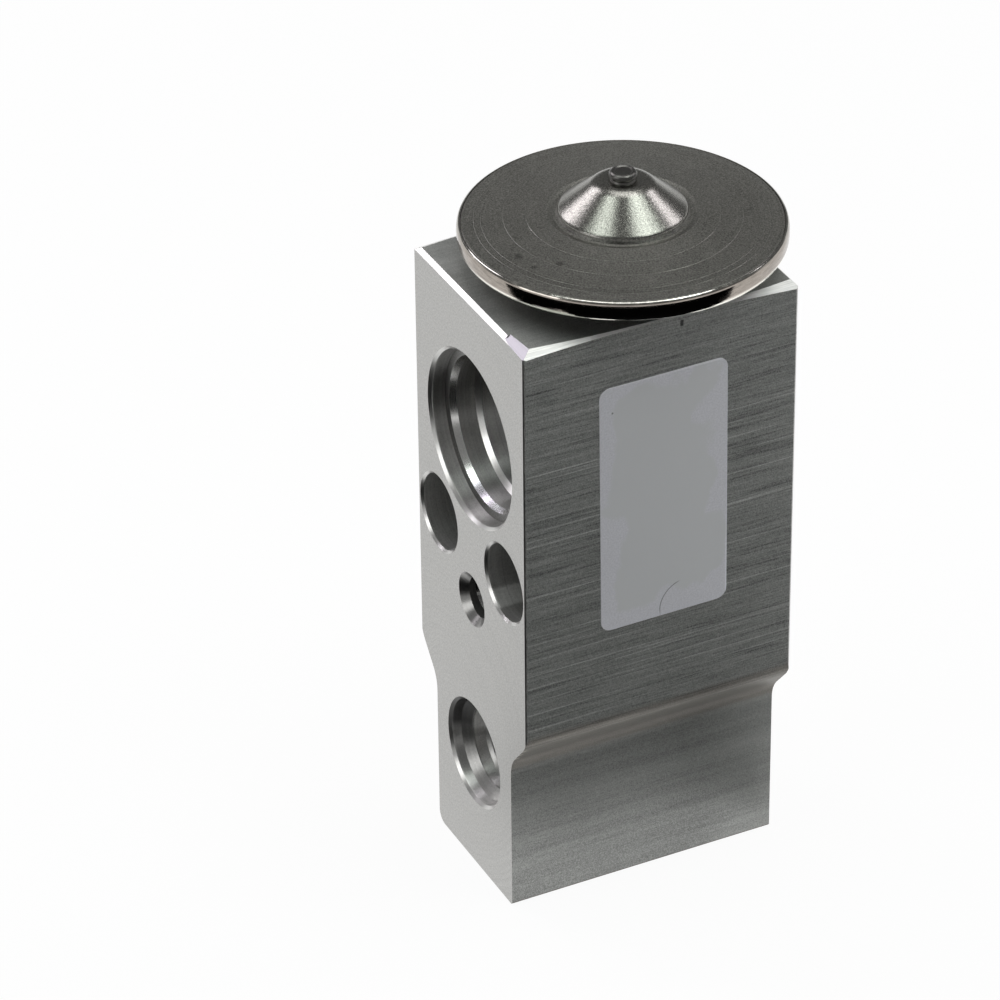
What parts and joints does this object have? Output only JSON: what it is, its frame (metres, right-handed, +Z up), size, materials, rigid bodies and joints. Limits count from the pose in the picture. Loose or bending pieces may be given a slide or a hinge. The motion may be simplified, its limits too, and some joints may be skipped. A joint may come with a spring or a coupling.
{
  "type": "thermal expansion valve",
  "caption": "Waisted aluminium expansion valve block with counterbored pipe ports, two bolt holes, a disc-shaped diaphragm head and a blank label.",
  "frame": {"origin": "centre of the block's underside at the stem's axis: z = 0 is the face the block stands on", "axes": "+Z up along the stem's axis, from the adjusting screw to the diaphragm head; the pipe face with its four holes and the liquid inlet looks along -Y; +X is the wide side that carries the label"},
  "size_m": [0.038, 0.0388, 0.0904],
  "materials": {
    "block_aluminium": "satin, brushed on the wide sides",
    "label_foil": "matt foil",
    "head_steel": "fine grained, dark",
    "cover_steel": "turned",
    "spring_steel": "bright",
    "hard_steel": "polished",
    "stem_steel": "ground",
    "screw_brass": "machined",
    "spring_bronze": "rolled",
    "seal_green": "matt",
    "seal_black": "matt"
  },
  "bodies": {
    "block": {"valve_body": "block_aluminium", "label": "label_foil", "lower_cover": "cover_steel", "upper_cover": "head_steel", "diaphragm": "spring_steel", "charge_plug": "cover_steel", "head_gasket": "seal_green", "rod_seal": "seal_black", "seal_retainer": "spring_steel"},
    "stem": {"thrust_disc": "stem_steel", "sensing_rod": "stem_steel", "push_pin": "hard_steel", "valve_ball": "hard_steel", "ball_carrier": "stem_steel", "damping_spring": "spring_bronze", "superheat_spring": "spring_steel"},
    "adjuster_seal": {"adjuster_oring": "seal_black"},
    "adjuster": {"adjusting_screw": "screw_brass"}
  },
  "joints": [
    {"name": "valve_lift", "type": "slide", "parent": "block", "child": "stem", "axis": [0, 0, 1], "range_m": [-0.0008, 0], "stiffness_N_per_m": 300, "springref_m": 0.0006, "deforming": ["superheat_spring"]},
    {"name": "adjuster_travel", "type": "slide", "parent": "block", "child": "adjuster_seal", "axis": [0, 0, 1], "range_m": [-0.001, 0.001]},
    {"name": "adjuster_turn", "type": "hinge", "parent": "adjuster_seal", "child": "adjuster", "pos_m": [0, 0, 0.006], "axis": [0, 0, 1], "range_deg": [-360, 360]}
  ],
  "couplings": [
    {"joint": "adjuster_turn", "follows": "adjuster_travel", "rad_per_m": 6283.2}
  ]
}
